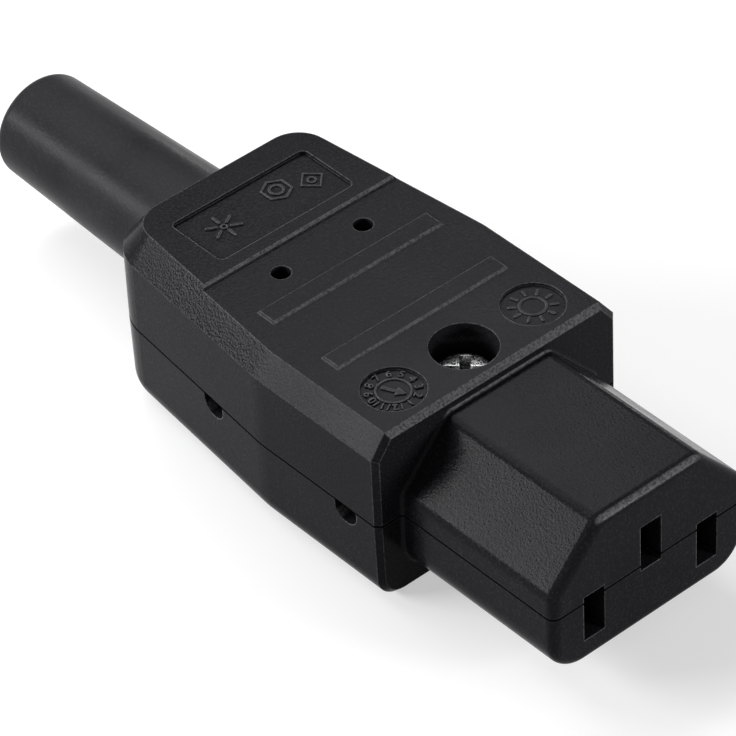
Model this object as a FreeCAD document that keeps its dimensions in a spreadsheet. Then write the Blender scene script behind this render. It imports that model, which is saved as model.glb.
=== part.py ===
import FreeCAD, Part
import math
import os
import Sketcher

# Rewirable appliance connector with a three-pole nose: two moulded shells joined by one
# screw, a rubber cable boot, a cord clamp and three spring contacts with terminal blocks.
# X runs along the connector and points out of the nose, Z is up and Y runs across.
# The origin is on the shoulder face behind the nose, in the centre plane and in the
# plane where the two shells part.

os.makedirs("parts", exist_ok=True)
doc = FreeCAD.newDocument("rewirable_connector")

SIZES = [
    ("nose_length", 20.0, "nose, from the shoulder to the front face"),
    ("nose_half_width", 12.0, "half the width of the nose"),
    ("nose_top", 8.8, "top of the nose above the parting plane"),
    ("nose_bottom", 7.2, "underside of the nose below the parting plane"),
    ("nose_ridge", 6.3, "half width of the flat on top of the nose"),
    ("nose_side", 2.5, "height at which the nose's sloping sides start"),
    ("nose_bottom_radius", 3.8, "rounding along the nose's lower corners"),
    ("nose_side_radius", 1.6, "rounding along the foot of the sloping sides"),
    ("nose_ridge_radius", 1.4, "rounding along the top of the sloping sides"),
    ("nose_edge_radius", 1.0, "rounding round the nose's front face"),
    ("nose_root_radius", 0.4, "hollow rounding where the nose meets the shoulder"),
    ("seam_chamfer", 0.12, "broken edge of each shell along the parting line"),
    ("pole_offset", 7.0, "live and neutral poles from the centre plane"),
    ("pole_height", -1.95, "centre of the live and neutral slots"),
    ("earth_rise", 4.0, "earth slot above the other two"),
    ("slot_width", 2.55, "width of a pin slot"),
    ("slot_height", 5.25, "height of a pin slot"),
    ("front_wall", 1.8, "wall between the front face and the contacts"),
    ("body_length", 41.8, "body, from the shoulder to the rear wall"),
    ("body_half_width", 15.0, "half the width of the body at the shoulder"),
    ("rear_half_width", 12.3, "half the width of the body at the rear wall"),
    ("crease_position", 16.4, "where the body starts to narrow"),
    ("crease_radius", 14.0, "rounding of that crease"),
    ("corner_radius", 5.5, "rounding of the rear corners in plan"),
    ("front_chamfer", 0.55, "broken front edges of the body"),
    ("body_top", 10.25, "top of the front panel above the parting plane"),
    ("rear_rise", 0.4, "step from the front panel up to the rear panel"),
    ("step_position", 27.3, "that step, behind the shoulder"),
    ("step_chamfer", 0.22, "broken edge along that step"),
    ("body_bottom", 9.4, "underside of the body below the parting plane"),
    ("bevel_height", 2.35, "height of the bevel round the front panel"),
    ("bevel_angle", 37.0, "lean of the bevel from the upright"),
    ("lower_draft", 1.0, "draft of the lower shell's walls, in degrees"),
    ("bottom_radius", 2.8, "rounding round the underside"),
    ("wall", 2.0, "side walls, roof and floor"),
    ("screw_position", 4.5, "shell screw, behind the shoulder"),
    ("screw_radius", 1.5, "shank of the shell screw"),
    ("screw_head_radius", 2.8, "head of the shell screw"),
    ("screw_head_height", 2.2, "height of that head"),
    ("screw_length", 10.5, "shank of the shell screw, below its head"),
    ("screw_well_radius", 3.3, "well in the roof over the shell screw"),
    ("screw_well_depth", 5.7, "depth of that well"),
    ("well_wall", 1.2, "wall round the screw well"),
    ("seat_thickness", 2.0, "floor of the screw well"),
    ("boss_radius", 3.6, "boss in the lower shell that takes the screw"),
    ("hole_clearance", 0.1, "gap round a shank in its hole"),
    ("ring_offset", 8.6, "round recesses beside the screw well"),
    ("ring_radius", 3.1, "radius of those recesses"),
    ("ring_depth", 0.3, "depth of those recesses"),
    ("rib_length", 21.0, "raised grip ribs, across the top"),
    ("rib_width", 2.4, "width of a rib"),
    ("rib_height", 0.25, "height of a rib"),
    ("rib_slope", 35.0, "lean of a rib's sides from the upright"),
    ("rib_front", 11.1, "front rib, behind the shoulder"),
    ("rib_pitch", 9.0, "from the front rib to the rear one"),
    ("vent_position", 24.2, "pair of small holes, behind the shoulder"),
    ("vent_offset", 5.1, "small holes from the centre plane"),
    ("vent_radius", 1.0, "radius of a small hole"),
    ("panel_rear", 36.5, "rear wall of the label recess"),
    ("panel_front", 29.0, "front wall of the label recess"),
    ("panel_half_width", 8.3, "half the width of the label recess"),
    ("panel_depth", 0.35, "depth of the label recess"),
    ("panel_corner", 0.7, "rounding of the label recess's corners"),
    ("notch_radius", 1.5, "half-round notches along the parting line"),
    ("notch_depth", 1.3, "depth of a notch into the wall"),
    ("notch_flat", 0.15, "flat at the foot of a notch"),
    ("notch_drop", 0.5, "straight part of a notch above its round end"),
    ("boot_height", 1.1, "axis of the boot above the parting plane"),
    ("boot_end", 68.1, "free end of the boot, behind the shoulder"),
    ("boot_root_radius", 6.45, "outside of the boot at the rear wall"),
    ("boot_end_radius", 5.6, "outside of the boot at its free end"),
    ("boot_bore_radius", 4.1, "cable bore of the boot"),
    ("boot_rounding", 1.1, "rounding of the boot's free end"),
    ("boot_neck_radius", 5.8, "neck of the boot inside the rear wall"),
    ("boot_flange_radius", 7.0, "flange of the boot inside the shells"),
    ("boot_flange_thickness", 1.6, "thickness of that flange"),
    ("boot_clearance", 0.1, "gap between the boot and the shells"),
    ("saddle_thickness", 1.4, "rib inside the shells that holds the boot's flange"),
    ("saddle_bore", 5.0, "cable passage through that rib"),
    ("contact_setback", 2.0, "mouth of a contact behind the front wall"),
    ("contact_length", 11.3, "spring contact, from its mouth to its bend"),
    ("contact_height", 4.4, "height of the contact strip"),
    ("strip", 0.6, "thickness of the contact strip"),
    ("contact_gap", 2.6, "gap between the contact's leaves"),
    ("contact_pinch", 1.7, "gap where the leaves grip a pin"),
    ("contact_lead", 2.5, "flared mouth of the contact, ahead of the pinch"),
    ("contact_ramp", 3.0, "stretch over which the leaves close to the pinch"),
    ("contact_play", 0.3, "room round a contact in its chamber"),
    ("tail_height", 2.6, "height of a contact's tail"),
    ("clip_length", 4.0, "steel clip round the leaves"),
    ("clip_strip", 0.4, "thickness of that clip"),
    ("clip_position", 6.4, "rear edge of the clip, in front of the shoulder"),
    ("block_length", 6.5, "terminal block along the connector"),
    ("block_width", 5.6, "terminal block across"),
    ("block_height", 7.0, "terminal block upwards"),
    ("block_front", 8.6, "live and neutral blocks, behind the shoulder"),
    ("block_clearance", 1.2, "live and neutral blocks from the side walls"),
    ("earth_block_front", 14.5, "earth block, behind the shoulder"),
    ("wire_radius", 1.4, "wire hole of a terminal block"),
    ("wire_floor", 1.0, "metal under the wire hole"),
    ("terminal_radius", 1.5, "shank of a terminal screw"),
    ("terminal_head_radius", 2.3, "head of a terminal screw"),
    ("terminal_head_height", 1.6, "height of that head"),
    ("terminal_reach", 0.6, "how far a terminal screw reaches into the wire hole"),
    ("slot_cut", 0.7, "driver slot in a screw head"),
    ("pilot_spare", 0.5, "depth of a screw hole beyond the screw's tip"),
    ("point_length", 0.8, "tapered tip of a screw"),
    ("point_taper", 0.75, "how much smaller that tip's radius is"),
    ("tail_depth", 2.2, "how far a tail reaches into its block"),
    ("tail_play", 0.1, "gap round a tail in its block"),
    ("earth_dodge", 5.6, "earth tail beside the screw boss, from the centre plane"),
    ("clamp_setback", 10.3, "cord clamp, ahead of the rear wall's outside"),
    ("clamp_width", 6.0, "cord clamp along the connector"),
    ("clamp_clearance", 0.7, "ends of the clamp bar from the side walls"),
    ("clamp_ear", 2.2, "clamp screws from the ends of the bar"),
    ("clamp_screw_length", 7.0, "shank of a clamp screw, below its head"),
    ("clamp_thickness", 1.8, "thickness of the clamp bar's ears"),
    ("clamp_seat", 1.6, "top of the clamp posts above the parting plane"),
    ("clamp_arch_radius", 4.6, "inside of the clamp bar's arch"),
    ("clamp_arch_wall", 1.2, "wall of that arch"),
    ("post_radius", 2.3, "clamp posts in the lower shell"),
    ("washer_radius", 2.7, "spring washer under the shell screw"),
    ("washer_thickness", 0.7, "thickness of that washer"),
    ("washer_split", 0.8, "gap in that washer"),
    ("cross_width", 1.0, "width of the cross recess in the shell screw"),
    ("cross_length", 4.0, "length of the cross recess"),
    ("cross_depth", 1.4, "depth of the cross recess"),
    ("cross_turn", 45.0, "turn of the cross recess, in degrees"),
    ("head_rounding", 0.7, "rounding of the shell screw's head"),
    ("divider", 1.2, "walls between the terminal blocks"),
    ("divider_top", 1.0, "top of those walls above the parting plane"),
]

sheet = doc.addObject("Spreadsheet::Sheet", "size")
for row, (alias, value, note) in enumerate(SIZES, start=1):
    sheet.set("A%d" % row, alias)
    sheet.set("B%d" % row, str(value))
    sheet.set("C%d" % row, note)
    sheet.setAlias("B%d" % row, alias)
doc.recompute()

# Two lengths this close, in millimetres, are the same when edges are picked.
CLOSE = 0.01

# Places that follow from the sizes. A formula may use, in braces, those above it.
PLACES = {
    "inner_top": "size.body_top - size.wall",
    "inner_bottom": "-(size.body_bottom - size.wall)",
    "seat_top": "size.body_top - size.screw_well_depth",
    "seat_bottom": "size.body_top - size.screw_well_depth - size.seat_thickness",
    "earth_height": "size.pole_height + size.earth_rise",
    "leaf_half": "size.contact_gap / 2 + size.strip",
    "chamber_half": "size.contact_gap / 2 + size.strip + size.clip_strip + size.contact_play",
    "chamber_rise": "size.contact_height / 2 + size.clip_strip + size.contact_play",
    "mouth": "size.nose_length - size.front_wall - size.contact_setback",
    "bend": "size.nose_length - size.front_wall - size.contact_setback"
            " - size.contact_length",
    "hole_radius": "size.boot_neck_radius + size.boot_clearance",
    "flange_front": "-(size.body_length - size.wall - size.boot_clearance"
                    " - size.boot_flange_thickness)",
    "screw_in_block": "-(size.block_length + size.tail_depth) / 2",
    "tail_in_block": "size.pole_height + size.body_bottom - size.wall",
    "block_offset": "size.body_half_width - size.wall - size.block_clearance"
                    " - size.block_width / 2",
    "clamp_position": "size.body_length - size.clamp_setback",
    "flare": "(size.body_half_width - size.rear_half_width)"
             " / (size.body_length - size.crease_position)",
    "clamp_room": "size.body_half_width - size.wall - {flare} * (size.body_length"
                  " - size.clamp_setback + size.clamp_width / 2 - size.crease_position)",
    "clamp_half_span": "{clamp_room} - size.clamp_clearance",
    "clamp_screw_offset": "{clamp_room} - size.clamp_clearance - size.clamp_ear",
}


def sized(text):
    """Write the derived places, given in braces, out in terms of the sheet."""
    for name, formula in reversed(PLACES.items()):
        text = text.replace("{%s}" % name, "(%s)" % formula)
    return text


def number(text):
    """Value of a size formula as it stands now."""
    return float(sheet.evalExpression(sized(text)))


def bind(target, prop, text):
    """Tie one property of a feature to the sheet."""
    target.setExpression(prop, sized(text))


def new_body(label):
    body = doc.addObject("PartDesign::Body", label)
    body.Label = label
    return body


def place(body, across="0", along="0", up="0"):
    """Put a body at its place in the connector."""
    bind(body, "Placement.Base.x", along)
    bind(body, "Placement.Base.y", across)
    bind(body, "Placement.Base.z", up)
    doc.recompute()


def new_sketch(body, name, plane, offset):
    """Empty sketch on one of the body's own origin planes, moved along its normal."""
    support = [item for item in body.Origin.OriginFeatures if item.Role == plane][0]
    sketch = body.newObject("Sketcher::SketchObject", name)
    sketch.AttachmentSupport = [(support, "")]
    sketch.MapMode = "FlatFace"
    bind(sketch, "AttachmentOffset.Base.z", offset)
    return sketch


def pin_point(sketch, index, vertex, across, up):
    """Tie one point of a sketch to two size formulas."""
    for kind, text in (("DistanceX", across), ("DistanceY", up)):
        spot = sketch.addConstraint(Sketcher.Constraint(kind, -1, 1, index, vertex, number(text)))
        bind(sketch, "Constraints[%d]" % spot, text)


def outline(body, name, plane, corners, offset="0"):
    """Closed outline through corners of (across, up, radius or None), all size formulas."""
    sketch = new_sketch(body, name, plane, offset)
    count = len(corners)
    spots = [FreeCAD.Vector(number(c[0]), number(c[1]), 0) for c in corners]
    ends = []
    for i, corner in enumerate(corners):
        before = (spots[i - 1] - spots[i]).normalize()
        after = (spots[(i + 1) % count] - spots[i]).normalize()
        if corner[2] is None:
            ends.append((spots[i], spots[i], None, None))
            continue
        radius = number(corner[2])
        half = before.getAngle(after) / 2
        reach = radius / math.tan(half)
        centre = spots[i] + (before + after).normalize() * (radius / math.sin(half))
        ends.append((spots[i] + before * reach, spots[i] + after * reach, centre, radius))
    for i in range(count):
        sketch.addGeometry(Part.LineSegment(ends[i][1], ends[(i + 1) % count][0]), False)
    for i, corner in enumerate(corners):
        arrive, leave, centre, radius = ends[i]
        last = (i - 1) % count
        if centre is None:
            sketch.addConstraint(Sketcher.Constraint("Coincident", last, 2, i, 1))
            pin_point(sketch, i, 1, corner[0], corner[1])
            continue
        start = math.atan2(arrive.y - centre.y, arrive.x - centre.x)
        stop = math.atan2(leave.y - centre.y, leave.x - centre.x)
        left_turn = (stop - start) % (2 * math.pi) < math.pi
        low, high = (start, stop) if left_turn else (stop, start)
        circle = Part.Circle(centre, FreeCAD.Vector(0, 0, 1), radius)
        if high < low:
            high += 2 * math.pi
        arc = sketch.addGeometry(Part.ArcOfCircle(circle, low, high), False)
        first, second = (1, 2) if left_turn else (2, 1)
        sketch.addConstraint(Sketcher.Constraint("Tangent", last, 2, arc, first))
        sketch.addConstraint(Sketcher.Constraint("Tangent", i, 1, arc, second))
        bend = sketch.addConstraint(Sketcher.Constraint("Radius", arc, radius))
        bind(sketch, "Constraints[%d]" % bend, corner[2])
        point = sketch.addGeometry(Part.Point(spots[i]), True)
        sketch.addConstraint(Sketcher.Constraint("PointOnObject", point, 1, last))
        sketch.addConstraint(Sketcher.Constraint("PointOnObject", point, 1, i))
        pin_point(sketch, point, 1, corner[0], corner[1])
    return sketch


def rectangle(body, name, plane, low, high, offset="0"):
    """Rectangular outline between two opposite corners."""
    corners = [(low[0], low[1], None), (high[0], low[1], None),
               (high[0], high[1], None), (low[0], high[1], None)]
    return outline(body, name, plane, corners, offset)


def disc(body, name, plane, centre, radius, offset="0"):
    """Circular outline."""
    sketch = new_sketch(body, name, plane, offset)
    middle = FreeCAD.Vector(number(centre[0]), number(centre[1]), 0)
    circle = Part.Circle(middle, FreeCAD.Vector(0, 0, 1), number(radius))
    sketch.addGeometry(circle, False)
    pin_point(sketch, 0, 3, centre[0], centre[1])
    spot = sketch.addConstraint(Sketcher.Constraint("Radius", 0, number(radius)))
    bind(sketch, "Constraints[%d]" % spot, radius)
    return sketch


def volume(body):
    return body.Shape.Volume if body.Tip and not body.Shape.isNull() else 0.0


def pad(body, sketch, length, backwards=False, taper=None):
    """Raise a sketch along its normal, or against it, and see that it adds material."""
    before = volume(body)
    feature = body.newObject("PartDesign::Pad", sketch.Name + "_pad")
    feature.Profile = sketch
    feature.Reversed = backwards
    bind(feature, "Length", length)
    if taper:
        bind(feature, "TaperAngle", taper)
    doc.recompute()
    if volume(body) <= before:
        raise ValueError(feature.Name + " adds nothing")
    return feature


def cut(body, sketch, length, forwards=False):
    """Sink a sketch against its normal, or along it, and see that it removes material."""
    before = volume(body)
    feature = body.newObject("PartDesign::Pocket", sketch.Name + "_cut")
    feature.Profile = sketch
    feature.Reversed = forwards
    bind(feature, "Length", length)
    doc.recompute()
    if volume(body) >= before:
        raise ValueError(feature.Name + " removes nothing")
    return feature


def spin(body, sketch, axis):
    """Turn a half section about the sketch's level or upright axis."""
    feature = body.newObject("PartDesign::Revolution", sketch.Name + "_spin")
    feature.Profile = sketch
    feature.ReferenceAxis = (sketch, [axis])
    feature.Angle = 360
    doc.recompute()
    return feature


def edges_where(body, test):
    """Names of the edges of a body whose bounds pass a test."""
    shape = body.Tip.Shape
    return ["Edge%d" % (i + 1) for i, edge in enumerate(shape.Edges) if test(edge.BoundBox)]


def soften(body, name, radius, test):
    """Round the edges that pass a test."""
    base, edges = body.Tip, edges_where(body, test)
    feature = body.newObject("PartDesign::Fillet", name)
    feature.Base = (base, edges)
    bind(feature, "Radius", radius)
    doc.recompute()
    return feature


def bevel_off(body, name, size, test):
    """Break the edges that pass a test with a narrow flat."""
    base, edges = body.Tip, edges_where(body, test)
    feature = body.newObject("PartDesign::Chamfer", name)
    feature.Base = (base, edges)
    bind(feature, "Size", size)
    doc.recompute()
    return feature


def near(first, second):
    return abs(first - second) < CLOSE


# Outlines and cuts that both shells share.

def body_plan(inset, front=None):
    """Plan of the body, drawn in by an inset, with its crease and rear corners rounded."""
    front = front or "-(%s)" % inset
    rear = "-(size.body_length - %s)" % inset
    wide = "(size.body_half_width - %s)" % inset
    narrow = "(size.rear_half_width - %s)" % inset
    corner = "size.corner_radius - %s" % inset
    bend = "size.crease_radius - %s" % inset
    return [(front, "-" + wide, None), (front, wide, None),
            ("-size.crease_position", wide, bend), (rear, narrow, corner),
            (rear, "-" + narrow, corner), ("-size.crease_position", "-" + wide, bend)]


POLES = [("live", "-size.pole_offset", "size.pole_height"),
         ("neutral", "size.pole_offset", "size.pole_height"),
         ("earth", "0", "{earth_height}")]


def contact_room(body):
    """Slots through the front wall, a chamber behind each and the room that joins them."""
    for pole, across, up in POLES:
        slot = rectangle(body, pole + "_slot", "YZ_Plane",
                         (across + " - size.slot_width / 2", up + " - size.slot_height / 2"),
                         (across + " + size.slot_width / 2", up + " + size.slot_height / 2"),
                         "size.nose_length - size.front_wall - size.contact_play")
        cut(body, slot, "size.front_wall + size.wall", True)
        chamber = rectangle(body, pole + "_chamber", "YZ_Plane",
                            (across + " - {chamber_half}", up + " - {chamber_rise}"),
                            (across + " + {chamber_half}", up + " + {chamber_rise}"),
                            "-size.wall")
        cut(body, chamber, "size.nose_length - size.front_wall + size.wall", True)
    low_room = rectangle(body, "pole_room", "YZ_Plane",
                         ("-(size.pole_offset + {chamber_half})",
                          "size.pole_height - {chamber_rise}"),
                         ("size.pole_offset + {chamber_half}",
                          "size.pole_height + {chamber_rise}"), "-size.wall")
    cut(body, low_room, "{bend} + size.wall - size.contact_play", True)


def boot_saddle(body, low, high):
    """Rib that traps the boot's flange, with the cable passage and the hole in the wall."""
    rib = rectangle(body, "saddle", "YZ_Plane", ("-size.boot_flange_radius", low),
                    ("size.boot_flange_radius", high), "{flange_front} + size.boot_clearance")
    pad(body, rib, "size.saddle_thickness")
    passage = disc(body, "passage", "YZ_Plane", ("0", "size.boot_height"),
                   "size.saddle_bore", "{flange_front} + size.boot_clearance")
    cut(body, passage, "size.saddle_thickness", True)
    mouth = disc(body, "boot_hole", "YZ_Plane", ("0", "size.boot_height"), "{hole_radius}",
                 "-size.body_length")
    cut(body, mouth, "size.wall", True)


def trim_shoulder(body, low, high):
    """Cut a leaning wall off upright at the shoulder."""
    cut(body, rectangle(body, "shoulder_trim", "YZ_Plane", ("-size.body_half_width", low),
                        ("size.body_half_width", high)), "size.nose_length", True)


def at_parting(box):
    return near(box.ZMin, 0) and near(box.ZMax, 0)


def at_shoulder(box):
    return near(box.XMin, 0) and near(box.XMax, 0)


def finish_nose(body):
    """Round the nose's front rim and its root, and break the edge at the parting plane."""
    front = number("size.nose_length")
    side = number("size.nose_half_width")
    soften(body, "nose_rim", "size.nose_edge_radius",
           lambda box: near(box.XMin, front) and near(box.XMax, front) and not at_parting(box))
    soften(body, "nose_root", "size.nose_root_radius",
           lambda box: at_shoulder(box) and max(-box.YMin, box.YMax) < side + CLOSE
           and not at_parting(box))
    bevel_off(body, "seam", "size.seam_chamfer", at_parting)


def break_front(body):
    """Break the body's front edges, but not the one at the parting plane."""
    bevel_off(body, "front_edges", "size.front_chamfer",
              lambda box: at_shoulder(box) and not at_parting(box))


# Upper shell: roof with bevel, step, ribs and recesses, screw well, upper half of the nose.

upper = new_body("upper_shell")
pad(upper, outline(upper, "upper_walls", "XY_Plane", body_plan("0")),
    "size.body_top - size.bevel_height")
pad(upper, outline(upper, "upper_bevel", "XY_Plane",
                   body_plan("0", "size.bevel_height + size.rear_rise"),
                   "size.body_top - size.bevel_height"),
    "size.bevel_height + size.rear_rise", taper="-size.bevel_angle")
trim_shoulder(upper, "0", "size.body_top + size.rear_rise")
front_panel = rectangle(upper, "front_panel", "XY_Plane",
                        ("-size.step_position", "-size.body_half_width"),
                        ("size.wall", "size.body_half_width"), "size.body_top")
cut(upper, front_panel, "size.rear_rise", True)
panel_height = number("size.body_top + size.rear_rise")
step_place = number("-size.step_position")
bevel_off(upper, "step_edge", "size.step_chamfer",
          lambda box: near(box.XMin, step_place) and near(box.XMax, step_place)
          and near(box.ZMin, panel_height))
break_front(upper)
pad(upper, outline(upper, "upper_nose", "YZ_Plane", [
    ("-size.nose_half_width", "0", None),
    ("size.nose_half_width", "0", None),
    ("size.nose_half_width", "size.nose_side", "size.nose_side_radius"),
    ("size.nose_ridge", "size.nose_top", "size.nose_ridge_radius"),
    ("-size.nose_ridge", "size.nose_top", "size.nose_ridge_radius"),
    ("-size.nose_half_width", "size.nose_side", "size.nose_side_radius"),
], "-size.wall"), "size.nose_length + size.wall")
finish_nose(upper)
cut(upper, outline(upper, "upper_cavity", "XY_Plane", body_plan("size.wall")),
    "{inner_top}", True)
contact_room(upper)
tail_side = "size.earth_dodge + size.strip + size.contact_play"
cut(upper, rectangle(upper, "tail_room", "YZ_Plane",
                     ("-(%s)" % tail_side, "{earth_height} - {chamber_rise}"),
                     (tail_side, "{earth_height} + {chamber_rise}"), "-size.wall"),
    "{bend} + size.wall - size.contact_play", True)
boot_saddle(upper, "0", "{inner_top}")

well_place = ("-size.screw_position", "0")
pad(upper, disc(upper, "well_tube", "XY_Plane", well_place,
                "size.screw_well_radius + size.well_wall", "{seat_bottom}"),
    "{inner_top} - {seat_bottom}")
cut(upper, disc(upper, "screw_well", "XY_Plane", well_place,
                "size.screw_well_radius", "{seat_top}"), "size.screw_well_depth", True)
cut(upper, disc(upper, "screw_hole", "XY_Plane", well_place,
                "size.screw_radius + size.hole_clearance", "{seat_bottom}"),
    "size.seat_thickness", True)

for index in range(2):
    middle = "-(size.rib_front + size.rib_pitch * %d)" % index
    grip = rectangle(upper, "grip_rib_%d" % (index + 1), "XY_Plane",
                     (middle + " - size.rib_width / 2", "-size.rib_length / 2"),
                     (middle + " + size.rib_width / 2", "size.rib_length / 2"), "size.body_top")
    pad(upper, grip, "size.rib_height", taper="-size.rib_slope")
for side, sign in (("left", "-"), ("right", "")):
    cut(upper, disc(upper, side + "_vent", "XY_Plane",
                    ("-size.vent_position", sign + "size.vent_offset"),
                    "size.vent_radius", "{inner_top}"), "size.wall", True)
    cut(upper, disc(upper, side + "_ring", "XY_Plane",
                    ("-size.screw_position", sign + "size.ring_offset"),
                    "size.ring_radius", "size.body_top - size.ring_depth"),
        "size.ring_depth", True)
label_recess = outline(upper, "label_recess", "XY_Plane", [
    ("-size.panel_rear", "-size.panel_half_width", "size.panel_corner"),
    ("-size.panel_front", "-size.panel_half_width", "size.panel_corner"),
    ("-size.panel_front", "size.panel_half_width", "size.panel_corner"),
    ("-size.panel_rear", "size.panel_half_width", "size.panel_corner"),
], "size.body_top + size.rear_rise - size.panel_depth")
cut(upper, label_recess, "size.panel_depth", True)

# Lower shell: tray with drafted walls, screw boss, clamp posts, terminal seats, notches.

lower = new_body("lower_shell")
pad(lower, outline(lower, "lower_walls", "XY_Plane", body_plan("0", "size.body_bottom")),
    "size.body_bottom", True, "-size.lower_draft")
trim_shoulder(lower, "-size.body_bottom", "0")
base = number("-size.body_bottom")
soften(lower, "underside_rim", "size.bottom_radius",
       lambda box: near(box.ZMin, base) and near(box.ZMax, base) and not at_shoulder(box))
break_front(lower)
pad(lower, outline(lower, "lower_nose", "YZ_Plane", [
    ("-size.nose_half_width", "-size.nose_bottom", "size.nose_bottom_radius"),
    ("size.nose_half_width", "-size.nose_bottom", "size.nose_bottom_radius"),
    ("size.nose_half_width", "0", None),
    ("-size.nose_half_width", "0", None),
], "-size.wall"), "size.nose_length + size.wall")
finish_nose(lower)
cut(lower, outline(lower, "lower_cavity", "XY_Plane", body_plan("size.wall")),
    "-({inner_bottom})")
contact_room(lower)
boot_saddle(lower, "{inner_bottom}", "0")

pad(lower, disc(lower, "screw_boss", "XY_Plane", well_place, "size.boss_radius",
                "{inner_bottom}"), "{seat_bottom} - ({inner_bottom})")
cut(lower, disc(lower, "boss_hole", "XY_Plane", well_place,
                "size.screw_radius + size.hole_clearance", "{seat_bottom}"),
    "size.screw_length - size.washer_thickness - size.seat_thickness + size.pilot_spare")
for side, sign in (("left", "-"), ("right", "")):
    post_place = ("-{clamp_position}", sign + "{clamp_screw_offset}")
    pad(lower, disc(lower, side + "_post", "XY_Plane", post_place, "size.post_radius",
                    "{inner_bottom}"), "size.clamp_seat - ({inner_bottom})")
    cut(lower, disc(lower, side + "_post_hole", "XY_Plane", post_place,
                    "size.terminal_radius + size.hole_clearance", "size.clamp_seat"),
        "size.clamp_screw_length - size.clamp_thickness + size.pilot_spare")
    inner = sign + "(size.block_width / 2 + size.contact_play)"
    outer = sign + "(size.block_width / 2 + size.contact_play + size.divider)"
    wall_low, wall_high = (outer, inner) if sign else (inner, outer)
    divider = rectangle(lower, side + "_divider", "XY_Plane",
                        ("-(size.earth_block_front + size.block_length)", wall_low),
                        ("-size.earth_block_front", wall_high), "{inner_bottom}")
    pad(lower, divider, "size.divider_top - ({inner_bottom})")
earth_seat = rectangle(lower, "earth_seat", "XY_Plane",
                       ("-(size.earth_block_front + size.block_length)",
                        "-(size.block_width / 2 + size.contact_play)"),
                       ("-size.earth_block_front", "size.block_width / 2 + size.contact_play"),
                       "{inner_bottom}")
pad(lower, earth_seat, "size.earth_rise")

NOTCHES = [("front", "size.screw_position", "size.body_half_width"),
           ("rear", "size.vent_position",
            "(size.body_half_width - (size.vent_position - size.crease_position) * {flare})")]
for spot, behind, half_width in NOTCHES:
    for side, sign in (("left", ""), ("right", "-")):
        notch = outline(lower, "%s_%s_notch" % (spot, side), "XZ_Plane", [
            ("-%s - size.notch_radius" % behind, "0", None),
            ("-%s - size.notch_radius" % behind, "-(size.notch_drop + size.notch_radius)",
             "size.notch_radius - size.notch_flat / 2"),
            ("-%s + size.notch_radius" % behind, "-(size.notch_drop + size.notch_radius)",
             "size.notch_radius - size.notch_flat / 2"),
            ("-%s + size.notch_radius" % behind, "0", None),
        ], sign + "(%s - size.notch_depth)" % half_width)
        cut(lower, notch, "size.notch_depth * 2", side == "left")

# Cable boot: tapered rubber sleeve, necked through the rear wall, with a flange inside.

boot = new_body("cable_boot")
spin(boot, outline(boot, "boot_section", "XZ_Plane", [
    ("-size.boot_end", "size.boot_bore_radius", None),
    ("{flange_front}", "size.boot_bore_radius", None),
    ("{flange_front}", "size.boot_flange_radius", None),
    ("{flange_front} - size.boot_flange_thickness", "size.boot_flange_radius", None),
    ("{flange_front} - size.boot_flange_thickness", "size.boot_neck_radius", None),
    ("-size.body_length", "size.boot_neck_radius", None),
    ("-size.body_length", "size.boot_root_radius", None),
    ("-size.boot_end", "size.boot_end_radius", "size.boot_rounding"),
]), "H_Axis")
place(boot, up="size.boot_height")


def screw(label, head_radius, head_height, rounding, shank_radius, length):
    """Screw with its head's underside at the body's origin, pointing down."""
    body = new_body(label)
    tip = "%s - size.point_taper" % shank_radius
    section = outline(body, label + "_section", "XZ_Plane", [
        ("0", "-(%s)" % length, None),
        (tip, "-(%s)" % length, None),
        (shank_radius, "-(%s) + size.point_length" % length, None),
        (shank_radius, "0", None),
        (head_radius, "0", None),
        (head_radius, head_height, rounding),
        ("0", head_height, None),
    ])
    spin(body, section, "V_Axis")
    return body


def driver_slot(body, width, length, height, depth, name, turned=False):
    """Straight slot sunk into the top of a head, lengthwise or turned across."""
    half = (length + " / 2", width + " / 2")
    half = half[::-1] if turned else half
    sketch = rectangle(body, name, "XY_Plane", ("-" + half[0], "-" + half[1]), half,
                       "%s - %s" % (height, depth))
    cut(body, sketch, depth, True)


shell_screw = screw("shell_screw", "size.screw_head_radius", "size.screw_head_height",
                    "size.head_rounding", "size.screw_radius", "size.screw_length")
for name, turned in (("cross_long", False), ("cross_wide", True)):
    driver_slot(shell_screw, "size.cross_width", "size.cross_length",
                "size.screw_head_height", "size.cross_depth", name, turned)
bind(shell_screw, "Placement.Rotation.Angle", "size.cross_turn")
place(shell_screw, along="-size.screw_position", up="{seat_top} + size.washer_thickness")

# Spring washer under the head, split on one side.

washer = new_body("spring_washer")
pad(washer, disc(washer, "washer_rim", "XY_Plane", ("0", "0"), "size.washer_radius"),
    "size.washer_thickness")
cut(washer, disc(washer, "washer_bore", "XY_Plane", ("0", "0"),
                 "size.screw_radius + size.hole_clearance"), "size.washer_thickness", True)
cut(washer, rectangle(washer, "washer_gap", "XY_Plane", ("0", "-size.washer_split / 2"),
                      ("size.washer_radius * 2", "size.washer_split / 2")),
    "size.washer_thickness", True)
place(washer, along="-size.screw_position", up="{seat_top}")

# Cord clamp: a bar arched over the cable and the two screws that draw it down.

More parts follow.
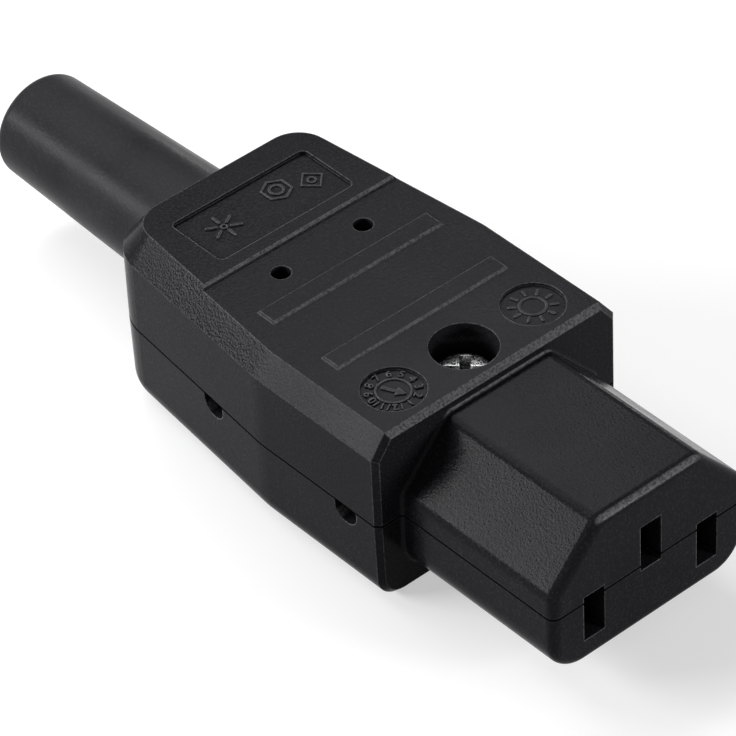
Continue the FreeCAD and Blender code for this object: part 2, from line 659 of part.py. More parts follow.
bar = new_body("clamp_bar")
bar_start = "-size.clamp_width / 2"
pad(bar, disc(bar, "arch", "YZ_Plane", ("0", "0"),
              "size.clamp_arch_radius + size.clamp_arch_wall", bar_start), "size.clamp_width")
cut(bar, rectangle(bar, "arch_foot", "YZ_Plane",
                   ("-{clamp_half_span}", "-{clamp_half_span}"),
                   ("{clamp_half_span}", "size.clamp_seat - size.boot_height"), bar_start),
    "size.clamp_width", True)
pad(bar, rectangle(bar, "ears", "YZ_Plane",
                   ("-{clamp_half_span}", "size.clamp_seat - size.boot_height"),
                   ("{clamp_half_span}",
                    "size.clamp_seat - size.boot_height + size.clamp_thickness"), bar_start),
    "size.clamp_width")
cut(bar, disc(bar, "cable_saddle", "YZ_Plane", ("0", "0"), "size.clamp_arch_radius",
              bar_start), "size.clamp_width", True)
for side, sign in (("left", "-"), ("right", "")):
    cut(bar, disc(bar, side + "_ear_hole", "XY_Plane", ("0", sign + "{clamp_screw_offset}"),
                  "size.terminal_radius + size.hole_clearance",
                  "size.clamp_seat - size.boot_height"), "size.clamp_thickness", True)
place(bar, along="-{clamp_position}", up="size.boot_height")
for side, sign in (("left", "-"), ("right", "")):
    clamp_screw = screw("clamp_screw_" + side, "size.terminal_head_radius",
                        "size.terminal_head_height", None, "size.terminal_radius",
                        "size.clamp_screw_length")
    driver_slot(clamp_screw, "size.slot_cut", "size.terminal_head_radius * 2",
                "size.terminal_head_height", "size.slot_cut", "slot_" + side)
    place(clamp_screw, sign + "{clamp_screw_offset}", "-{clamp_position}",
          "size.clamp_seat + size.clamp_thickness")


def strip_outline(path):
    """Outline of a bent strip seen from above, from its centre line, front to rear."""
    left = [(along, across + " - size.strip / 2", None) for along, across in path]
    right = [(along, across + " + size.strip / 2", None) for along, across in path]
    return left[::-1] + right


def contact(label, path):
    """Folded spring contact: two leaves that pinch near the mouth, and a tail behind."""
    body = new_body(label)
    pinch = "{mouth} - size.contact_lead"
    ramp = "{mouth} - size.contact_lead - size.contact_ramp"
    outer = "(size.contact_gap / 2 + size.strip)"
    inner = "size.contact_gap / 2"
    half = [("{bend}", outer, "size.contact_gap / 2"), (ramp, outer, None),
            (pinch, "(size.contact_pinch / 2 + size.strip)", None), ("{mouth}", outer, None),
            ("{mouth}", inner, None), (pinch, "size.contact_pinch / 2", None),
            (ramp, inner, None), ("{bend} + size.strip", inner, "size.contact_gap / 4")]
    mirrored = [(along, "-" + across, bend) for along, across, bend in half]
    leaves = outline(body, label + "_leaves", "XY_Plane", half + mirrored[::-1],
                     "-size.contact_height / 2")
    pad(body, leaves, "size.contact_height")
    tail = outline(body, label + "_tail", "XY_Plane", strip_outline(path),
                   "-size.tail_height / 2")
    pad(body, tail, "size.tail_height")
    return body


def clip(label):
    """Steel clip that wraps the leaves and keeps their grip."""
    body = new_body(label)
    top = "size.contact_height / 2"
    outer = rectangle(body, label + "_outside", "YZ_Plane",
                      ("-({leaf_half} + size.clip_strip)", "-" + top),
                      ("{leaf_half} + size.clip_strip", top + " + size.clip_strip"),
                      "size.clip_position")
    pad(body, outer, "size.clip_length")
    inner = rectangle(body, label + "_inside", "YZ_Plane", ("-{leaf_half}", "-" + top),
                      ("{leaf_half}", top), "size.clip_position")
    cut(body, inner, "size.clip_length", True)
    return body


def block(label):
    """Terminal block with a wire hole from the rear, a screw hole and a slot for the tail."""
    body = new_body(label)
    pad(body, rectangle(body, label + "_plan", "XY_Plane",
                        ("-size.block_length", "-size.block_width / 2"),
                        ("0", "size.block_width / 2")), "size.block_height")
    cut(body, disc(body, label + "_wire", "YZ_Plane",
                   ("0", "size.wire_floor + size.wire_radius"), "size.wire_radius",
                   "-size.block_length"), "size.block_length", True)
    cut(body, disc(body, label + "_thread", "XY_Plane", ("{screw_in_block}", "0"),
                   "size.terminal_radius + size.hole_clearance",
                   "size.wire_floor + size.wire_radius"),
        "size.block_height - size.wire_floor - size.wire_radius", True)
    cut(body, rectangle(body, label + "_tail_slot", "YZ_Plane",
                        ("-(size.strip / 2 + size.tail_play)",
                         "{tail_in_block} - size.tail_height / 2 - size.tail_play"),
                        ("size.strip / 2 + size.tail_play",
                         "{tail_in_block} + size.tail_height / 2 + size.tail_play"),
                        "-(size.tail_depth + size.tail_play)"),
        "size.tail_depth + size.tail_play", True)
    return body


# Live and neutral share one form, mirrored. The earth tail passes beside the screw boss.

TERMINAL_SCREW = ("size.terminal_head_radius", "size.terminal_head_height", None,
                  "size.terminal_radius",
                  "size.block_height - size.wire_floor - size.wire_radius * 2"
                  " + size.terminal_reach")


def pole(name, across, up, block_front, block_across, rise, path):
    """One pole of the connector: contact, clip, terminal block and terminal screw."""
    place(contact(name + "_contact", path), across, "0", up)
    place(clip(name + "_clip"), across, "0", up)
    place(block(name + "_terminal"), block_across, "-" + block_front, rise)
    fastener = screw(name + "_terminal_screw", *TERMINAL_SCREW)
    driver_slot(fastener, "size.slot_cut", "size.terminal_head_radius * 2",
                "size.terminal_head_height", "size.slot_cut", name + "_driver_slot")
    place(fastener, block_across, "-%s + {screw_in_block}" % block_front,
          rise + " + size.block_height")


for name, across, up in POLES[:2]:
    sign = "-" if name == "live" else ""
    step_out = sign + "({block_offset} - size.pole_offset)"
    pole(name, across, up, "size.block_front", sign + "{block_offset}",
         "{inner_bottom}",
         [("{bend} + size.strip / 2", "0"), ("size.strip", "0"),
          ("-(size.block_front - size.tail_depth)", step_out),
          ("-(size.block_front + size.tail_depth)", step_out)])
pole("earth", "0", "{earth_height}", "size.earth_block_front", "0",
     "{inner_bottom} + size.earth_rise",
     [("{bend} + size.strip / 2", "0"),
      ("-size.screw_position + size.boss_radius / 2", "size.earth_dodge"),
      ("-size.screw_position - size.boss_radius / 2", "size.earth_dodge"),
      ("-(size.earth_block_front - size.tail_depth / 2)", "0"),
      ("-(size.earth_block_front + size.tail_depth)", "0")])

# Every feature and every solid is sound before anything is written.

doc.recompute()
for item in doc.Objects:
    if "Invalid" in item.State or "Error" in item.State:
        raise ValueError("%s did not compute" % item.Name)
for item in doc.Objects:
    if item.TypeId == "PartDesign::Body":
        shape = item.Shape
        if shape.isNull() or not shape.isValid() or len(shape.Solids) != 1:
            raise ValueError("%s is not one sound solid" % item.Label)
        shape.exportStep("parts/%s.step" % item.Label)
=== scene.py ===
import math

import bmesh
import bpy
from bpy.props import FloatProperty, FloatVectorProperty, IntProperty, PointerProperty
from mathutils import Matrix, Vector


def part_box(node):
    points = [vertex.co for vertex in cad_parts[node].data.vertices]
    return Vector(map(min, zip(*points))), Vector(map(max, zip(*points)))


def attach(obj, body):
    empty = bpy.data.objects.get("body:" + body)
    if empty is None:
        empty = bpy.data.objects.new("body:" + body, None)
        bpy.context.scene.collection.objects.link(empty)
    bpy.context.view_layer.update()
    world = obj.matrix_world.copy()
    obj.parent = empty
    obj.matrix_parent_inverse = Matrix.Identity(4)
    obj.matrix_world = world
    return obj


bl_info = {
    "name": "Rewirable Connector Finish",
    "version": (1, 0, 0),
    "blender": (4, 5, 0),
    "location": "3D View > Sidebar > Connector",
    "description": "Dresses a rewirable appliance connector with moulded plastic, rubber and metal",
    "category": "Object",
}

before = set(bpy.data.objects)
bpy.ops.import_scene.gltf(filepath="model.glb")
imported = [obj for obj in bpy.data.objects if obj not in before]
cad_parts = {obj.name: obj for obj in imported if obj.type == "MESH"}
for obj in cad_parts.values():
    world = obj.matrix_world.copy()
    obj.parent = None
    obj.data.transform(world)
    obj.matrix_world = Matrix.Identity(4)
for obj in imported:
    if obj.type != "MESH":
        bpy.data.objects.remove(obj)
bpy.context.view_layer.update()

MM = 0.001
ROOT = "root"

# Levels and places of the recesses in the top of the upper shell.
BODY_TOP = 10.25 * MM
PANEL_TOP = BODY_TOP + 0.4 * MM
RING_FLOOR = BODY_TOP - 0.3 * MM
LABEL_FLOOR = PANEL_TOP - 0.35 * MM
RING_CENTRE_X = -4.5 * MM
RING_OFFSET = 8.6 * MM

SHELLS = ("upper_shell", "lower_shell")
FASTENERS = ("shell_screw", "spring_washer", "clamp_screw_left", "clamp_screw_right",
             "live_terminal_screw", "neutral_terminal_screw", "earth_terminal_screw")
CONTACTS = ("live_contact", "neutral_contact", "earth_contact")
CLIPS = ("live_clip", "neutral_clip", "earth_clip")
TERMINALS = ("live_terminal", "neutral_terminal", "earth_terminal")

# What the finishes read from a noise or a mask: where it starts and where it is full.
CLOUD_RANGE = (0.3, 0.7)
EDGE_RANGE = (0.004, 0.07)
RIM_RANGE = (0.34, 0.48)
SLOT_RANGE = (0.05, 0.4)
CREASE_RANGE = (0.35, 0.7)
SEAM_RANGE = (0.3, 0.7)
FLECK_RANGE = (0.5, 0.68)
RUB_AND_HIGHLIGHT_RANGE = (0.35, 0.6)
MOTTLE_RANGE = (0.9, 1.6)
BLOOM_RANGE = (0.35, 0.7)
SKIN_RANGE = (0.5, 0.75)
RECESS_RANGE = (0.3, 0.7)
FILM_RANGE = (0.45, 0.75)

# How far a mask goes, and how dark the painted shade in a shut corner or recess gets beside the
# open face.
RIM_SHARE = 0.95
RUB_AND_HIGHLIGHT_SHARES = (0.25, 0.9)
PAINTED_SHADE_SHARE = 0.15
RECESS_SHADE_SHARE = 0.04
DULL_ROUGHNESS = 0.85

# Clouds and flecks of the plastic, in grains, and its tints.
CLOUD_GRAINS = 40
FLECK_GRAINS = 1.1
CLOUD_TINT = 1.5
CLOUD_SHARE = 0.35
FLECK_SHARE = 0.5

# How far a finish's roughness goes below and above its setting.
PLASTIC_SHEEN = (-0.07, 0.11)
RUBBER_SHEEN = (-0.05, 0.08)
METAL_SHEEN = (-0.08, 0.14)

# Strength of the fine bumps, and sizes of the small forms in rubber and metal.
GRAIN_STRENGTH = 0.9
BOOT_EDGE = 0.3 * MM
RIPPLE_DEPTH = 0.03 * MM
METAL_EDGE = 0.1 * MM
METAL_CLOUD = 1.5 * MM
LINE_DEPTH = 0.006 * MM

# Raised marks: bevelled share of their height, and the font's size and stroke for a height of 1.
CHAMFER_SHARE = 0.3
FONT_SHARE = 1.4
STROKE_SHARE = 0.01

# Round marks: the dial's ring and arrow, and the tick ring's height, radius and gap.
DIAL_GAP = 0.75
DIAL_LINE = 0.8
ARROW_REACH = 0.75
ARROW_TURN = math.radians(26)
TICK_RISE = 0.7
TICK_RING = 0.55
TICK_GAP = 1.5

# Label marks: the rays, then each ring's centre, radius, share of the line width and sides.
RAY_CENTRE = Vector((-33.0 * MM, -4.6 * MM))
RAY_COUNT = 6
RAY_START, RAY_END = 0.7 * MM, 1.7 * MM
HEXAGON_CENTRE = Vector((-33.8 * MM, 2.6 * MM))
SQUARE_CENTRE = Vector((-32.6 * MM, 6.0 * MM))
LABEL_RINGS = (
    (RAY_CENTRE, 0.3 * MM, 0.7, 24),
    (HEXAGON_CENTRE, 1.5 * MM, 1.0, 6),
    (HEXAGON_CENTRE, 0.7 * MM, 1.0, 32),
    (SQUARE_CENTRE, 1.3 * MM, 1.0, 4),
    (SQUARE_CENTRE, 0.4 * MM, 0.8, 24),
)

# Each metal: its nodes, its colour's setting, how its lines are stretched and their width.
METALS = (
    ("zinc_plate", FASTENERS, "zinc_colour", (1, 1, 4), 0.3 * MM),
    ("spring_steel", CLIPS, "steel_colour", (0.2, 1, 1), 0.12 * MM),
    ("rolled_brass", CONTACTS, "brass_colour", (0.15, 1, 1), 0.12 * MM),
    ("drawn_brass", TERMINALS, "block_colour", (0.3, 1, 1), 0.2 * MM),
)

# Each lamp: its power's setting, direction from the part, distance, width and height in metres.
LAMPS = (
    ("key_lamp", "key_power", (-0.587, -0.72, 0.35), 0.42, 0.23, 0.11),
    ("fill_lamp", "fill_power", (-0.587, 0.08, 0.78), 0.5, 0.55, 0.16),
    ("front_lamp", "front_power", (0.85, 0.4, 0.22), 0.5, 0.12, 0.1),
    ("rim_lamp", "rim_power", (-0.587, 0.8, 0.12), 0.5, 0.12, 0.05),
)

# The floor lies just under the part and fades to white between two distances from it.
FLOOR_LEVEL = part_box("lower_shell")[0][2] - 0.02 * MM
FLOOR_RADIUS = 3.0
FLOOR_SIDES = 96
FLOOR_CLOUD = 0.08
FLOOR_PATCH = 0.94
FLOOR_FADE = (0.12, 0.6)
FLOOR_GLOW = (0.5, 1.0)
UNSEEN_SKY = 0.15

SENSOR_WIDTH = 36.0
CLIP_START, CLIP_END = 0.01, 20.0


# Settings: a colour, a share from nought to one, and a length in metres.

def colour(label, text, value):
    return FloatVectorProperty(name=label, description=text, subtype="COLOR", size=3,
                               min=0.0, max=1.0, default=value)


def share(label, text, value):
    return FloatProperty(name=label, description=text, subtype="FACTOR", min=0.0, max=1.0,
                         default=value)


def length(label, text, value):
    return FloatProperty(name=label, description=text, unit="LENGTH", subtype="DISTANCE",
                         min=0.0, precision=5, default=value)


class ConnectorPlastic(bpy.types.PropertyGroup):
    """Moulded plastic of the two shells and the clamp bar."""

    shell_colour: colour("Shell colour", "Black of the moulded shells", (0.0088, 0.0086, 0.0104))
    # The edge colour is partly edge wear and partly a painted highlight along edges and
    # forward-facing rims.
    worn_and_highlight_colour: colour("Edge colour", "Paler grey along handled edges", (0.15, 0.15, 0.155))
    speck_colour: colour("Speck colour", "Fine light specks of the texture", (0.027, 0.027, 0.03))
    clamp_colour: colour("Clamp colour", "Grey of the cord clamp bar", (0.035, 0.035, 0.038))
    roughness: share("Roughness", "Sheen of the moulded face", 0.18)
    gloss: share("Gloss", "Strength of the plastic's reflections", 0.025)
    grain_size: length("Grain size", "Width of one grain of the spark-eroded texture", 0.22 * MM)
    grain_depth: length("Grain depth", "Height of that texture", 0.0145 * MM)
    edge_radius: length("Edge radius", "Softness of the moulded edges", 0.16 * MM)
    # Cavity reach sets how far painted shade reaches into a slot's walls.
    cavity_reach: length("Cavity reach", "How far a slot darkens its walls", 1.5 * MM)
    # Crease reach sets the width of the painted shade in a fine corner.
    crease_reach: length("Crease reach", "Width of the dark line in a fine corner", 0.3 * MM)
    # Seam width sets the width of the painted shade along the parting line of the shells.
    seam_width: length("Seam width", "Dark line where the two shells meet", 0.28 * MM)
    # The marks' edge colour is partly wear and partly a painted highlight on their edges.
    mark_wear_and_highlight_colour: colour("Mark colour", "Rubbed grey of the raised marks", (0.15, 0.15, 0.16))


class ConnectorRubber(bpy.types.PropertyGroup):
    """Rubber of the cable boot."""

    boot_colour: colour("Boot colour", "Black of the cable boot", (0.014, 0.0138, 0.016))
    dusty_colour: colour("Bloom colour", "Grey bloom on the rubber", (0.04, 0.04, 0.044))
    roughness: share("Roughness", "Sheen of the rubber", 0.3)
    gloss: share("Gloss", "Strength of the rubber's reflections", 0.04)
    ripple_size: length("Ripple size", "Width of the soft ripples on the rubber", 2.6 * MM)
    skin_size: length("Skin size", "Width of one grain of the rubber's skin", 0.28 * MM)
    skin_depth: length("Skin depth", "Height of that grain", 0.016 * MM)


class ConnectorMetal(bpy.types.PropertyGroup):
    """Zinc plated screws, spring steel clips, brass contacts and terminals."""

    zinc_colour: colour("Zinc colour", "Bright plating of the screws", (0.82, 0.82, 0.83))
    steel_colour: colour("Steel colour", "Spring steel of the clips", (0.46, 0.46, 0.48))
    brass_colour: colour("Brass colour", "Rolled brass of the contacts", (0.68, 0.49, 0.2))
    block_colour: colour("Block colour", "Drawn brass of the terminals", (0.66, 0.47, 0.18))
    tarnish_colour: colour("Tarnish colour", "Dark film on the metal", (0.16, 0.13, 0.09))
    roughness: share("Roughness", "Sheen of the metal", 0.22)
    # Cavity reach sets how far painted shade reaches into a slot or recess in the metal.
    cavity_reach: length("Cavity reach", "How far a slot darkens its walls", 1.2 * MM)


class ConnectorMarks(bpy.types.PropertyGroup):
    """Plain raised marks in the recesses of the upper shell."""

    dial_radius: length("Dial radius", "Ring of numbers in the date dial", 2.3 * MM)
    dial_numbers: IntProperty(name="Numbers", description="Numbers round the dial", min=4,
                              max=24, default=12)
    ring_ticks: IntProperty(name="Ticks", description="Ticks round the plain ring", min=3,
                            max=24, default=10)
    number_height: length("Number height", "Height of a number on the dial", 0.85 * MM)
    mark_height: length("Mark height", "How far a mark stands out of its recess", 0.16 * MM)
    mark_line: length("Line width", "Width of a raised line", 0.28 * MM)


class ConnectorStage(bpy.types.PropertyGroup):
    """Camera, lamps and the pale floor."""

    azimuth: FloatProperty(name="Azimuth", description="Camera direction round the part",
                           subtype="ANGLE", default=math.radians(50.46))
    elevation: FloatProperty(name="Elevation", description="Camera height above the floor",
                             subtype="ANGLE", default=math.radians(40.45))
    roll: FloatProperty(name="Roll", description="Turn of the camera about its line of sight",
                        subtype="ANGLE", default=math.radians(-2.97))
    distance: length("Distance", "Camera to the point that it looks at", 0.4573)
    focus: FloatVectorProperty(name="Focus", description="Point that the camera looks at",
                               subtype="TRANSLATION", unit="LENGTH", size=3, precision=5,
                               default=(-0.016946, -0.001191, 0.000682))
    lens: FloatProperty(name="Lens", description="Focal length for a 36 mm sensor",
                        unit="CAMERA", default=238.2)
    floor_colour: colour("Floor colour", "Pale floor under the part", (0.56, 0.56, 0.56))
    key_power: FloatProperty(name="Key", description="Power of the soft light on the left",
                             unit="POWER", min=0.0, default=2.0)
    fill_power: FloatProperty(name="Fill", description="Power of the large soft light behind",
                              unit="POWER", min=0.0, default=1.8)
    front_power: FloatProperty(name="Front", description="Power of the soft light ahead",
                               unit="POWER", min=0.0, default=1.5)
    rim_power: FloatProperty(name="Rim", description="Power of the low light behind on the right",
                             unit="POWER", min=0.0, default=0.2)


# Node helpers: each adds nodes, sets or links their sockets and returns what they give.

def new_material(name):
    material = bpy.data.materials.new(name)
    material.use_nodes = True
    material.node_tree.nodes.clear()
    return material, material.node_tree


def add(tree, kind, inputs=None, **settings):
    node = tree.nodes.new(kind)
    for key, value in settings.items():
        setattr(node, key, value)
    for key, value in (inputs or {}).items():
        if isinstance(value, bpy.types.NodeSocket):
            tree.links.new(value, node.inputs[key])
        else:
            node.inputs[key].default_value = value
    return node


def noise(tree, where, size, detail=2.0, roughness=0.5):
    """Noise whose lumps are about one size across, in metres."""
    node = add(tree, "ShaderNodeTexNoise",
               {"Vector": where, "Scale": 1.0 / size, "Detail": detail, "Roughness": roughness})
    return node.outputs["Fac"]


def ranged(tree, value, reads, low=0.0, high=1.0):
    """Turn what a value reads between two limits into what lies between low and high."""
    node = add(tree, "ShaderNodeMapRange", {"Value": value, "From Min": reads[0],
                                            "From Max": reads[1], "To Min": low,
                                            "To Max": high})
    return node.outputs["Result"]


def mix(tree, factor, first, second):
    node = add(tree, "ShaderNodeMix", data_type="RGBA")
    factor_socket, first_socket, second_socket = node.inputs[0], node.inputs[6], node.inputs[7]
    for socket, value in ((factor_socket, factor), (first_socket, first),
                          (second_socket, second)):
        if isinstance(value, bpy.types.NodeSocket):
            tree.links.new(value, socket)
        elif socket is factor_socket:
            socket.default_value = value
        else:
            socket.default_value = (*value, 1.0)
    return node.outputs[2]


def scaled(shade, factor):
    """A colour made darker or paler, up to full white."""
    return tuple(min(1.0, channel * factor) for channel in shade)


def around(value, sheen):
    """Lowest and highest roughness round a setting."""
    return value + sheen[0], value + sheen[1]


def calculate(tree, operation, first, second):
    return add(tree, "ShaderNodeMath", {0: first, 1: second}, operation=operation).outputs[0]


def edge_mask(tree, radius):
    """One along sharp edges and nought on open faces, with the softened normal."""
    rounded = add(tree, "ShaderNodeBevel", {"Radius": radius}, samples=6)
    surface = add(tree, "ShaderNodeNewGeometry")
    match = add(tree, "ShaderNodeVectorMath",
                {0: rounded.outputs["Normal"], 1: surface.outputs["Normal"]},
                operation="DOT_PRODUCT")
    bend = calculate(tree, "SUBTRACT", 1.0, match.outputs["Value"])
    return ranged(tree, bend, EDGE_RANGE), rounded.outputs["Normal"]


def rim_highlight_mask(tree):
    """One on rounded rims that face forwards and up, where a highlight is painted on the nose."""
    facing = add(tree, "ShaderNodeTexCoord").outputs["Normal"]
    turned = add(tree, "ShaderNodeSeparateXYZ", {0: facing}).outputs
    both = calculate(tree, "MULTIPLY", turned["X"], turned["Z"])
    return ranged(tree, both, RIM_RANGE, 0.0, RIM_SHARE)


def cavity_mask(tree, reach, reads):
    """Nought where little of the surroundings is seen within reach, and one where most is."""
    shade = add(tree, "ShaderNodeAmbientOcclusion", {"Distance": reach}, samples=6)
    return ranged(tree, shade.outputs["AO"], reads)


def seam_mask(tree, where, width):
    """Nought in the parting plane and one away from it."""
    height = add(tree, "ShaderNodeSeparateXYZ", {0: where}).outputs["Z"]
    away = calculate(tree, "ABSOLUTE", height, 0.0)
    return ranged(tree, away, [width * limit for limit in SEAM_RANGE])


def surface_shader(tree, base, roughness, normal, metallic=0.0, **sockets):
    """Principled shader with its varied colour, roughness and normal linked in."""
    inputs = {"Base Color": base, "Roughness": roughness, "Normal": normal,
              "Metallic": metallic}
    inputs.update(sockets)
    shader = add(tree, "ShaderNodeBsdfPrincipled", inputs)
    add(tree, "ShaderNodeOutputMaterial", {"Surface": shader.outputs[0]})


def object_point(tree):
    return add(tree, "ShaderNodeTexCoord").outputs["Object"]


def moulded_plastic(name, base, speck, highlight_and_wear, plastic):
    """Spark-eroded moulded plastic: fine grain, patchy sheen, paler edges that are partly edge wear
    and partly painted highlight, and painted shade in slots, creases and the seam.
    """
    material, tree = new_material(name)
    where = object_point(tree)
    grain = noise(tree, where, plastic.grain_size, 0.5, 0.4)
    cloud = noise(tree, where, plastic.grain_size * CLOUD_GRAINS, 3.0)
    fleck = noise(tree, where, plastic.grain_size * FLECK_GRAINS, 2.0, 0.6)
    edge, soft_normal = edge_mask(tree, plastic.edge_radius)
    # Painted shade: one on open faces, nought in slots, fine corners and the seam between the
    # shells.
    roomy = calculate(tree, "MULTIPLY", cavity_mask(tree, plastic.cavity_reach, SLOT_RANGE),
                      cavity_mask(tree, plastic.crease_reach, CREASE_RANGE))
    clear_of_painted_shade = calculate(tree, "MULTIPLY", roomy,
                          seam_mask(tree, where, plastic.seam_width))
    tinted = mix(tree, ranged(tree, cloud, CLOUD_RANGE, high=CLOUD_SHARE), base,
                 scaled(base, CLOUD_TINT))
    speckled = mix(tree, ranged(tree, fleck, FLECK_RANGE, high=FLECK_SHARE), tinted, speck)
    # Painted highlight along edges and forward-facing rims, partly edge wear, broken up by flecks.
    edge_wear_and_highlight = calculate(tree, "MAXIMUM", edge, rim_highlight_mask(tree))
    rub_and_highlight = calculate(tree, "MULTIPLY", edge_wear_and_highlight, ranged(tree, fleck, RUB_AND_HIGHLIGHT_RANGE, *RUB_AND_HIGHLIGHT_SHARES))
    edge_paled = mix(tree, calculate(tree, "MULTIPLY", rub_and_highlight, clear_of_painted_shade), speckled, highlight_and_wear)
    # Painted shade: the base colour goes dark where the surface is shut in.
    shaded = mix(tree, clear_of_painted_shade, scaled(base, PAINTED_SHADE_SHARE), edge_paled)
    mottle = calculate(tree, "ADD", calculate(tree, "MULTIPLY", fleck, 1.5), cloud)
    sheen = ranged(tree, mottle, MOTTLE_RANGE, *around(plastic.roughness, PLASTIC_SHEEN))
    dulled = ranged(tree, clear_of_painted_shade, (0.0, 1.0), DULL_ROUGHNESS, sheen)
    bump = add(tree, "ShaderNodeBump", {"Height": grain, "Distance": plastic.grain_depth,
                                        "Strength": GRAIN_STRENGTH, "Normal": soft_normal})
    surface_shader(tree, shaded, dulled, bump.outputs["Normal"],
                   **{"Specular IOR Level": plastic.gloss})
    return material


def boot_rubber(name, rubber):
    """Satin rubber with a faint bloom, soft ripples and a fine skin."""
    material, tree = new_material(name)
    where = object_point(tree)
    skin = noise(tree, where, rubber.skin_size, 1.0)
    ripple = noise(tree, where, rubber.ripple_size, 2.0)
    cloud = noise(tree, where, rubber.ripple_size * 3, 3.0)
    edge, soft_normal = edge_mask(tree, BOOT_EDGE)
    bloom = calculate(tree, "ADD", ranged(tree, cloud, BLOOM_RANGE, high=0.25),
                      ranged(tree, skin, SKIN_RANGE, high=0.3))
    tinted = mix(tree, bloom, rubber.boot_colour[:], rubber.dusty_colour[:])
    edge_paled = mix(tree, calculate(tree, "MULTIPLY", edge, 0.5), tinted, rubber.dusty_colour[:])
    sheen = ranged(tree, cloud, CLOUD_RANGE, *around(rubber.roughness, RUBBER_SHEEN))
    wave = add(tree, "ShaderNodeBump", {"Height": ripple, "Distance": RIPPLE_DEPTH,
                                        "Strength": 0.4, "Normal": soft_normal})
    fine = add(tree, "ShaderNodeBump", {"Height": skin, "Distance": rubber.skin_depth,
                                        "Strength": GRAIN_STRENGTH,
                                        "Normal": wave.outputs["Normal"]})
    surface_shader(tree, edge_paled, sheen, fine.outputs["Normal"],
                   **{"Specular IOR Level": rubber.gloss})
    return material


def worked_metal(name, base, metal, along, scratch):
    """Plated or rolled metal: fine lines one way, a thin dark film, bright edges and painted shade
    in recesses.
    """
    material, tree = new_material(name)
    where = object_point(tree)
    stretched = add(tree, "ShaderNodeVectorMath", {0: where, 1: along}, operation="MULTIPLY")
    lines = noise(tree, stretched.outputs[0], scratch, 2.0)
    cloud = noise(tree, where, METAL_CLOUD, 3.0)
    edge, soft_normal = edge_mask(tree, METAL_EDGE)
    clear_of_painted_shade = cavity_mask(tree, metal.cavity_reach, RECESS_RANGE)
    film = ranged(tree, cloud, FILM_RANGE, high=0.25)
    filmed = mix(tree, film, base, metal.tarnish_colour[:])
    bright = mix(tree, calculate(tree, "MULTIPLY", edge, 0.6), filmed, scaled(base, 1.25))
    # Painted shade: the metal goes nearly black in slots and recesses.
    shaded = mix(tree, clear_of_painted_shade, scaled(base, RECESS_SHADE_SHARE), bright)
    sheen = ranged(tree, lines, CLOUD_RANGE, *around(metal.roughness, METAL_SHEEN))
    bump = add(tree, "ShaderNodeBump", {"Height": lines, "Distance": LINE_DEPTH,
                                        "Strength": 0.5, "Normal": soft_normal})
    surface_shader(tree, shaded, sheen, bump.outputs["Normal"], metallic=1.0)
    return material


def finish_nodes(names, material):
    """Give carried-over CAD nodes their material."""
    for name in names:
        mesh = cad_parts[name].data
        mesh.materials.clear()
        mesh.materials.append(material)


# Mesh helpers for the raised marks.

def raised_shape(mesh, outline, floor, height):
    """Raised shape from an outline in plan, with its top edge drawn in a little."""
    chamfer = height * CHAMFER_SHARE
    middle = sum(outline, Vector((0, 0))) / len(outline)

    def ring(level, inset):
        points = []
        for point in outline:
            away = point - middle
            reach = max(away.length - inset, 0.0)
            shifted = middle + away.normalized() * reach
            points.append(mesh.verts.new((shifted.x, shifted.y, level)))
        return points

    rings = [ring(floor, 0.0), ring(floor + height - chamfer, 0.0), ring(floor + height, chamfer)]
    mesh.faces.new(rings[0][::-1])
    for low, high in zip(rings, rings[1:]):
        for i in range(len(outline)):
            j = (i + 1) % len(outline)
            mesh.faces.new((low[i], low[j], high[j], high[i]))
    mesh.faces.new(rings[-1])


def raised_stroke(mesh, start, end, width, floor, height):
    """Raised straight line with rounded ends."""
    heading = end - start
    angle = math.atan2(heading.y, heading.x)
    steps = 6
    outline = []
    for centre, turn in ((end, -math.pi / 2), (start, math.pi / 2)):
        for step in range(steps + 1):
            spot = angle + turn + math.pi * step / steps
            outline.append(centre + Vector((math.cos(spot), math.sin(spot))) * width / 2)
    raised_shape(mesh, outline, floor, height)


def raised_pointer(mesh, centre, reach, line, turn, floor, height):
    """Raised arrow through a centre, drawn as one outline."""
    half, neck, barb = line * 0.6, reach * 0.25, reach * 0.45
    outline = [(-reach, -half), (neck, -half), (neck, -barb), (reach, 0.0), (neck, barb),
               (neck, half), (-reach, half)]
    facing = Matrix.Rotation(turn, 2)
    raised_shape(mesh, [centre + facing @ Vector(point) for point in outline], floor, height)


def raised_ring(mesh, centre, radius, width, floor, height, sides=48):
    """Raised line round a centre, a circle or a shape with few sides."""
    shoulder = floor + height * (1 - CHAMFER_SHARE)
    section = [(radius - width / 2, floor), (radius - width / 2, shoulder),
               (radius - width / 4, floor + height), (radius + width / 4, floor + height),
               (radius + width / 2, shoulder), (radius + width / 2, floor)]
    rings = []
    for side in range(sides):
        turn = 2 * math.pi * side / sides
        rings.append([mesh.verts.new((centre.x + reach * math.cos(turn),
                                      centre.y + reach * math.sin(turn), level))
                      for reach, level in section])
    for side in range(sides):
        here, there = rings[side], rings[(side + 1) % sides]
        for i in range(len(section)):
            j = (i + 1) % len(section)
            mesh.faces.new((here[i], there[i], there[j], here[j]))


def finish_piece(name, mesh, material):
    """Turn a bmesh into a shown piece that rides with the part."""
    bmesh.ops.recalc_face_normals(mesh, faces=mesh.faces)
    data = bpy.data.meshes.new(name)
    mesh.to_mesh(data)
    mesh.free()
    piece = bpy.data.objects.new(name, data)
    bpy.context.scene.collection.objects.link(piece)
    data.materials.append(material)
    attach(piece, ROOT)


